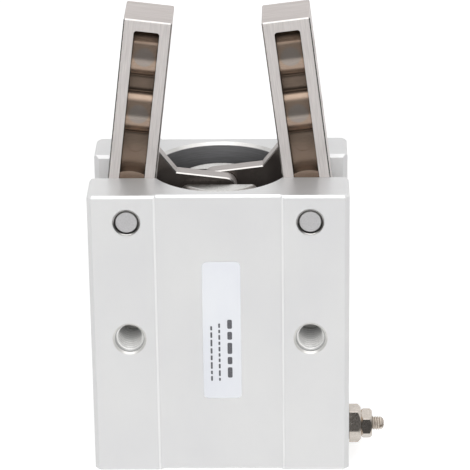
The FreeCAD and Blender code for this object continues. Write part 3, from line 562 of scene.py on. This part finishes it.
def inner_thread(name, mouth, outward, radius, start, length, pitch, material, body):
    """Threaded lining of a hole: mouth is the hole's mouth and the lining starts below it."""
    root = radius - 0.02 * MM
    crest = radius - 0.56 * pitch
    around = 40
    per_turn = 10
    turn = outward.to_track_quat("Z", "Y").to_matrix()
    steps = int(length / pitch * per_turn)
    rings = []
    for i in range(steps + 1):
        depth = start + length * i / steps
        fade = min(1.0, i / per_turn, (steps - i) / per_turn)
        ring = []
        for k in range(around):
            angle = 2 * math.pi * k / around
            height = thread_height(depth / pitch + k / around) * fade
            r = root + (crest - root) * height
            ring.append(mouth + turn @ Vector((r * math.cos(angle), r * math.sin(angle), -depth)))
        rings.append(ring)
    wall = radius - 0.005 * MM
    for depth in (start + length, start):
        rings.append([mouth + turn @ Vector((wall * math.cos(2 * math.pi * k / around),
                                             wall * math.sin(2 * math.pi * k / around), -depth))
                      for k in range(around)])
    return grid_solid(name, rings, material, body)


def add_hole_threads():
    """M6 and M5 threads in the housing, and M5 threads through the fingers."""
    lining = cut_thread()
    base = MOUNTS["base_bolts"]
    half = base["dims"]["spacing_x_mm"] * MM / 2
    for word, side in (("left", -1), ("right", 1)):
        mouth = Vector(base["pos_m"]) + Vector((side * half, 0, 0))
        inner_thread(f"base_thread_{word}", mouth, Vector(base["axis"]), base["dims"]["hole_r_mm"] * MM,
                     *BASE_THREAD, lining, "housing")
        for face, level in (("front", BODY_LOW.y), ("back", BODY_HIGH.y)):
            mount = MOUNTS[f"{face}_bolt_{word}"]
            mouth = Vector(mount["pos_m"])
            mouth.y = level
            inner_thread(f"{face}_thread_{word}", mouth, Vector(mount["axis"]), mount["dims"]["r_mm"] * MM,
                         *BOLT_THREAD, lining, "housing")
    for port in ("port_lower", "port_upper"):
        mount = MOUNTS[port]
        mouth = Vector(mount["pos_m"])
        mouth.x = BODY_HIGH.x
        inner_thread(f"{port}_thread", mouth, Vector((1, 0, 0)), mount["dims"]["r_mm"] * MM,
                     *PORT_THREAD, lining, "housing")
    for word in ("left", "right"):
        steel = NODES[f"{word}_finger"].material_slots[0].material
        for level in ("lower", "upper"):
            mount = MOUNTS[f"{word}_finger_hole_{level}"]
            outward = Vector(mount["axis"]).normalized()
            mouth = Vector(mount["pos_m"]) + outward * FINGER_HALF_WIDTH
            inner_thread(f"{word}_finger_thread_{level}", mouth, outward, mount["dims"]["r_mm"] * MM,
                         *FINGER_THREAD, steel, f"{word}_finger")


def add_needle_screw():
    """Slotted M3 needle with a real helical thread."""
    axis_y = (NEEDLE_LOW.y + NEEDLE_HIGH.y) / 2
    axis_z = (NEEDLE_LOW.z + NEEDLE_HIGH.z) / 2
    crest = NEEDLE_HIGH.z - axis_z
    root = crest - 0.3 * MM
    around = 36
    tip = NEEDLE_LOW.x
    end = NEEDLE_HIGH.x
    thread_start = tip + 5.2 * MM
    profile = [(tip, 0.0), (tip, 0.4 * MM), (tip + 1.4 * MM, 0.95 * MM), (tip + 2.8 * MM, 0.95 * MM),
               (tip + 3.1 * MM, crest), (tip + 3.6 * MM, crest), (tip + 3.6 * MM, 0.95 * MM),
               (tip + 4.6 * MM, 0.95 * MM), (tip + 4.6 * MM, root)]
    rows = [(x, r, False) for x, r in profile]
    length = end - 0.45 * MM - thread_start
    steps = int(length / NEEDLE_PITCH * 8)
    rows += [(thread_start + length * i / steps, None, True) for i in range(steps + 1)]
    slot_half = 0.25 * MM
    slot_depth = 0.8 * MM
    points = []
    for x, radius, threaded in rows:
        for k in range(around):
            angle = 2 * math.pi * k / around
            r = radius
            if threaded:
                fade = min(1.0, (x - thread_start) / NEEDLE_PITCH, (end - 0.2 * MM - x) / NEEDLE_PITCH)
                r = root + (crest - root) * thread_height(x / NEEDLE_PITCH - k / around) * fade
            points.append((x, axis_y + r * math.cos(angle), axis_z + r * math.sin(angle)))
    dome_steps = 5
    for i in range(1, dome_steps + 1):
        bend = math.pi / 2 * i / dome_steps
        r = root * math.cos(bend) if i < dome_steps else 0.0
        x = end - 0.45 * MM + 0.45 * MM * math.sin(bend)
        for k in range(around):
            angle = 2 * math.pi * k / around
            points.append((x, axis_y + r * math.cos(angle), axis_z + r * math.sin(angle)))
    count = len(points) // around
    faces = [(i * around + k, i * around + (k + 1) % around, (i + 1) * around + (k + 1) % around,
              (i + 1) * around + k) for i in range(count - 1) for k in range(around)]
    mesh = bpy.data.meshes.new("needle_thread")
    mesh.from_pydata(points, [], faces)
    mesh.materials.append(threaded_nickel(axis_y, axis_z))
    piece = bpy.data.objects.new("needle_thread", mesh)
    bpy.context.scene.collection.objects.link(piece)
    weld(piece)
    cut_slot(piece, (end - slot_depth, axis_y - 2 * MM, axis_z - slot_half),
             (end + MM, axis_y + 2 * MM, axis_z + slot_half))
    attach(piece, "needle_screw")
    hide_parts("needle_screw")


def weld(piece):
    """Joins points that share a place, so that the tips close."""
    work = bmesh.new()
    work.from_mesh(piece.data)
    bmesh.ops.remove_doubles(work, verts=work.verts, dist=0.0005 * MM)
    bmesh.ops.recalc_face_normals(work, faces=work.faces)
    work.to_mesh(piece.data)
    work.free()


def cut_slot(piece, low, high):
    """Takes a box out of a piece."""
    corners = [(x, y, z) for x in (low[0], high[0]) for y in (low[1], high[1]) for z in (low[2], high[2])]
    faces = [(0, 1, 3, 2), (4, 6, 7, 5), (0, 4, 5, 1), (2, 3, 7, 6), (0, 2, 6, 4), (1, 5, 7, 3)]
    mesh = bpy.data.meshes.new("slot_tool")
    mesh.from_pydata(corners, [], faces)
    tool = bpy.data.objects.new("slot_tool", mesh)
    bpy.context.scene.collection.objects.link(tool)
    modifier = piece.modifiers.new("slot", "BOOLEAN")
    modifier.operation = "DIFFERENCE"
    modifier.solver = "EXACT"
    modifier.object = tool
    apply_modifiers(piece)
    bpy.data.objects.remove(tool)


def apply_modifiers(piece):
    bpy.context.view_layer.update()
    shown = piece.evaluated_get(bpy.context.evaluated_depsgraph_get())
    mesh = bpy.data.meshes.new_from_object(shown)
    piece.modifiers.clear()
    piece.data = mesh


# ---- label ----
def flat_plate(name, outline, back, front, material):
    """Plate with an XZ outline between two Y positions, its front rim eased."""
    count = len(outline)
    middle_x = sum(p[0] for p in outline) / count
    middle_z = sum(p[1] for p in outline) / count
    ease = min(0.04 * MM, abs(front - back) * 0.5)
    layers = [(back, 0.0), (front + ease if front < back else front - ease, 0.0), (front, ease)]
    points = []
    for y, inset in layers:
        for x, z in outline:
            reach = math.hypot(x - middle_x, z - middle_z)
            share = 1 - inset / reach
            points.append((middle_x + (x - middle_x) * share, y, middle_z + (z - middle_z) * share))
    faces = [tuple(range(count)), tuple(reversed(range(2 * count, 3 * count)))]
    for layer in range(2):
        for k in range(count):
            n = (k + 1) % count
            low, high = layer * count, (layer + 1) * count
            faces.append((low + n, low + k, high + k, high + n))
    mesh = bpy.data.meshes.new(name)
    mesh.from_pydata(points, [], faces)
    mesh.materials.append(material)
    piece = bpy.data.objects.new(name, mesh)
    bpy.context.scene.collection.objects.link(piece)
    weld(piece)
    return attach(piece, "housing")


def rounded_rectangle(left, right, low, high, radius):
    points = []
    for x, z, start in ((right - radius, high - radius, 0), (left + radius, high - radius, 90),
                        (left + radius, low + radius, 180), (right - radius, low + radius, 270)):
        for i in range(7):
            angle = math.radians(start + 15 * i)
            points.append((x + radius * math.cos(angle), z + radius * math.sin(angle)))
    return points


def add_label():
    """Film label with three columns of plain dashes in place of print."""
    front = LABEL_LOW.y + 0.03 * MM
    outline = rounded_rectangle(LABEL_LOW.x, LABEL_HIGH.x, LABEL_LOW.z, LABEL_HIGH.z, 1.0 * MM)
    film = flat_plate("label_sheet", outline, LABEL_HIGH.y - 0.005 * MM, front, label_film())
    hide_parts("rating_label")

    ink = moulded("label_ink", (0.05, 0.05, 0.055), (0.10, 0.10, 0.11), 0.5)
    draw = random.Random(7)
    # millimetres: a column's place across the label, its line's width, its start and its longest dash
    columns = ((1.55, 0.95, 12.6, 3.0), (-0.55, 0.38, 13.4, 1.4), (-2.15, 0.38, 14.0, 1.5))
    for number, (offset, line, top, longest) in enumerate(columns):
        x = (LABEL_LOW.x + LABEL_HIGH.x) / 2 + offset * MM
        z = LABEL_HIGH.z - top * MM
        stop = LABEL_LOW.z + 4.2 * MM
        dash = 0
        while z > stop:
            length = draw.uniform(0.5, 1.0) * longest * MM
            low = max(z - length, stop - 0.3 * MM)
            half = line * MM / 2
            shape = rounded_rectangle(x - half, x + half, low, z, min(half, (z - low) / 2) * 0.6)
            flat_plate(f"label_dash_{number}_{dash}", shape, front, LABEL_LOW.y, ink)
            z = low - 0.45 * line * MM - 0.25 * MM
            dash += 1


NICKEL = machined_metal("nickel_plate", (0.64, 0.58, 0.52), (0.76, 0.70, 0.64), 1.0, 0.24,
                        (0.3 * MM, 0.3 * MM, 0.3 * MM))

add_camera()
add_world()
add_studio()
dress_nodes()
add_hole_threads()
add_needle_screw()
add_label()

bpy.context.scene.view_settings.view_transform = "Standard"
